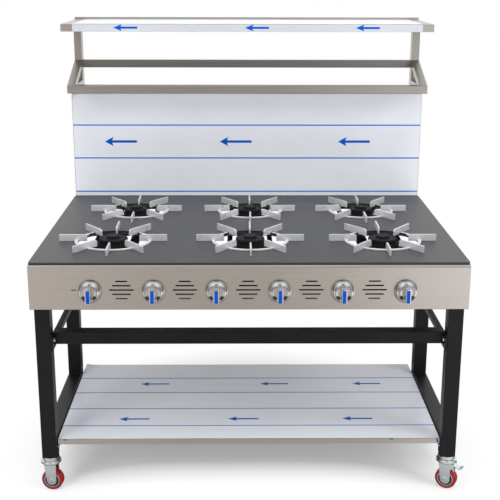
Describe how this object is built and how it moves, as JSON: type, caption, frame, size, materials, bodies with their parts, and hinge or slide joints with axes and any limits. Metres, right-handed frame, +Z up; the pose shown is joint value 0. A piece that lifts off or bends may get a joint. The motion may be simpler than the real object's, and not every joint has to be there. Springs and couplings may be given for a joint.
{
  "type": "six-burner gas range",
  "caption": "Free-standing open gas range on casters, with loose pan supports, knobs, a lower shelf, a backsplash and an upper rack shelf.",
  "frame": {"origin": "on the floor, under the centre of the bounding box of the whole range", "axes": "+X to the right seen from the controls, +Y from the control panel to the back, +Z up"},
  "size_m": [1.222, 1.0388, 1.287],
  "materials": {
    "plate_steel": "dark satin enamelled steel",
    "stainless": "brushed stainless steel",
    "filmed_stainless": "stainless sheet under its pale protective film",
    "black_frame": "black powder coat",
    "burner_iron": "black cast iron",
    "pan_support_steel": "bright zinc-plated steel",
    "knob_chrome": "satin chrome with a blue insert",
    "valve_brass": "machined brass",
    "gas_pipe": "zinc-plated steel pipe",
    "tube_metal": "drawn tube",
    "caster_zinc": "bright zinc plate",
    "caster_red": "red polyurethane tyre on a silver hub"
  },
  "bodies": {
    "range": {"cooktop_plate": "plate_steel", "front_panel": "stainless", "side_panel_left": "stainless", "side_panel_right": "stainless", "rear_panel": "stainless", "rack_posts": "stainless", "rack_front_bar": "stainless", "rack_rear_bar": "stainless", "rack_braces": "stainless", "backsplash": "filmed_stainless", "upper_shelf": "filmed_stainless", "lower_shelf": "filmed_stainless", "burner_support_frame": "black_frame", "upper_side_rails": "black_frame", "front_cross_bar": "black_frame", "lower_side_rails": "black_frame", "heat_shield": "black_frame", "frame_bolts": "caster_zinc", "rack_bolts": "caster_zinc", "caster_mounts": "caster_zinc", "supply_tubes": "tube_metal", "gas_valves": "valve_brass", "manifold_pipe": "gas_pipe", "burner_body_front_left": "burner_iron", "burner_body_front_centre": "burner_iron", "burner_body_front_right": "burner_iron", "burner_body_rear_left": "burner_iron", "burner_body_rear_centre": "burner_iron", "burner_body_rear_right": "burner_iron", "leg_front_left": "black_frame", "leg_front_right": "black_frame", "leg_rear_left": "black_frame", "leg_rear_right": "black_frame"},
    "cap_front_left": {"burner_cap_front_left": "burner_iron"},
    "support_front_left": {"pan_support_front_left": "pan_support_steel"},
    "cap_front_centre": {"burner_cap_front_centre": "burner_iron"},
    "support_front_centre": {"pan_support_front_centre": "pan_support_steel"},
    "cap_front_right": {"burner_cap_front_right": "burner_iron"},
    "support_front_right": {"pan_support_front_right": "pan_support_steel"},
    "cap_rear_left": {"burner_cap_rear_left": "burner_iron"},
    "support_rear_left": {"pan_support_rear_left": "pan_support_steel"},
    "cap_rear_centre": {"burner_cap_rear_centre": "burner_iron"},
    "support_rear_centre": {"pan_support_rear_centre": "pan_support_steel"},
    "cap_rear_right": {"burner_cap_rear_right": "burner_iron"},
    "support_rear_right": {"pan_support_rear_right": "pan_support_steel"},
    "control_1": {"knob_1": "knob_chrome"},
    "control_2": {"knob_2": "knob_chrome"},
    "control_3": {"knob_3": "knob_chrome"},
    "control_4": {"knob_4": "knob_chrome"},
    "control_5": {"knob_5": "knob_chrome"},
    "control_6": {"knob_6": "knob_chrome"},
    "caster_front_left": {"caster_fork_front_left": "caster_zinc"},
    "wheel_front_left": {"caster_wheel_front_left": "caster_red"},
    "caster_front_right": {"caster_fork_front_right": "caster_zinc"},
    "wheel_front_right": {"caster_wheel_front_right": "caster_red"},
    "brake_pedal": {"brake_pedal": "caster_zinc"},
    "caster_rear_left": {"caster_fork_rear_left": "caster_zinc"},
    "wheel_rear_left": {"caster_wheel_rear_left": "caster_red"},
    "caster_rear_right": {"caster_fork_rear_right": "caster_zinc"},
    "wheel_rear_right": {"caster_wheel_rear_right": "caster_red"}
  },
  "joints": [
    {"name": "lift_cap_front_left", "type": "slide", "parent": "range", "child": "cap_front_left", "axis": [0, 0, 1], "range_m": [0, 0.04]},
    {"name": "lift_support_front_left", "type": "slide", "parent": "range", "child": "support_front_left", "axis": [0, 0, 1], "range_m": [0, 0.06]},
    {"name": "lift_cap_front_centre", "type": "slide", "parent": "range", "child": "cap_front_centre", "axis": [0, 0, 1], "range_m": [0, 0.04]},
    {"name": "lift_support_front_centre", "type": "slide", "parent": "range", "child": "support_front_centre", "axis": [0, 0, 1], "range_m": [0, 0.06]},
    {"name": "lift_cap_front_right", "type": "slide", "parent": "range", "child": "cap_front_right", "axis": [0, 0, 1], "range_m": [0, 0.04]},
    {"name": "lift_support_front_right", "type": "slide", "parent": "range", "child": "support_front_right", "axis": [0, 0, 1], "range_m": [0, 0.06]},
    {"name": "lift_cap_rear_left", "type": "slide", "parent": "range", "child": "cap_rear_left", "axis": [0, 0, 1], "range_m": [0, 0.04]},
    {"name": "lift_support_rear_left", "type": "slide", "parent": "range", "child": "support_rear_left", "axis": [0, 0, 1], "range_m": [0, 0.06]},
    {"name": "lift_cap_rear_centre", "type": "slide", "parent": "range", "child": "cap_rear_centre", "axis": [0, 0, 1], "range_m": [0, 0.04]},
    {"name": "lift_support_rear_centre", "type": "slide", "parent": "range", "child": "support_rear_centre", "axis": [0, 0, 1], "range_m": [0, 0.06]},
    {"name": "lift_cap_rear_right", "type": "slide", "parent": "range", "child": "cap_rear_right", "axis": [0, 0, 1], "range_m": [0, 0.04]},
    {"name": "lift_support_rear_right", "type": "slide", "parent": "range", "child": "support_rear_right", "axis": [0, 0, 1], "range_m": [0, 0.06]},
    {"name": "turn_knob_1", "type": "hinge", "parent": "range", "child": "control_1", "pos_m": [-0.434, -0.4755, 0.606], "axis": [0, -1, 0], "range_deg": [0, 90]},
    {"name": "turn_knob_2", "type": "hinge", "parent": "range", "child": "control_2", "pos_m": [-0.262, -0.4755, 0.606], "axis": [0, -1, 0], "range_deg": [0, 90]},
    {"name": "turn_knob_3", "type": "hinge", "parent": "range", "child": "control_3", "pos_m": [-0.09, -0.4755, 0.606], "axis": [0, -1, 0], "range_deg": [0, 90]},
    {"name": "turn_knob_4", "type": "hinge", "parent": "range", "child": "control_4", "pos_m": [0.082, -0.4755, 0.606], "axis": [0, -1, 0], "range_deg": [0, 90]},
    {"name": "turn_knob_5", "type": "hinge", "parent": "range", "child": "control_5", "pos_m": [0.254, -0.4755, 0.606], "axis": [0, -1, 0], "range_deg": [0, 90]},
    {"name": "turn_knob_6", "type": "hinge", "parent": "range", "child": "control_6", "pos_m": [0.426, -0.4755, 0.606], "axis": [0, -1, 0], "range_deg": [0, 90]},
    {"name": "swivel_front_left", "type": "hinge", "parent": "range", "child": "caster_front_left", "pos_m": [-0.569, -0.4465, 0.09], "axis": [0, 0, 1], "continuous": true},
    {"name": "roll_front_left", "type": "hinge", "parent": "caster_front_left", "child": "wheel_front_left", "pos_m": [-0.56603, -0.44692, 0.031], "axis": [0.1392, 0.9903, 0], "continuous": true},
    {"name": "swivel_front_right", "type": "hinge", "parent": "range", "child": "caster_front_right", "pos_m": [0.569, -0.4465, 0.09], "axis": [0, 0, 1], "continuous": true},
    {"name": "roll_front_right", "type": "hinge", "parent": "caster_front_right", "child": "wheel_front_right", "pos_m": [0.57167, -0.44786, 0.031], "axis": [0.454, 0.891, 0], "continuous": true},
    {"name": "press_brake", "type": "hinge", "parent": "caster_front_right", "child": "brake_pedal", "pos_m": [0.5886, -0.45649, 0.073], "axis": [0.454, 0.891, 0], "range_deg": [0, 10]},
    {"name": "swivel_rear_left", "type": "hinge", "parent": "range", "child": "caster_rear_left", "pos_m": [-0.569, 0.0405, 0.09], "axis": [0, 0, 1], "continuous": true},
    {"name": "roll_rear_left", "type": "hinge", "parent": "caster_rear_left", "child": "wheel_rear_left", "pos_m": [-0.57182, 0.04153, 0.031], "axis": [-0.342, -0.9397, 0], "continuous": true},
    {"name": "swivel_rear_right", "type": "hinge", "parent": "range", "child": "caster_rear_right", "pos_m": [0.569, 0.0405, 0.09], "axis": [0, 0, 1], "continuous": true},
    {"name": "roll_rear_right", "type": "hinge", "parent": "caster_rear_right", "child": "wheel_rear_right", "pos_m": [0.57182, 0.04153, 0.031], "axis": [-0.342, 0.9397, 0], "continuous": true}
  ]
}
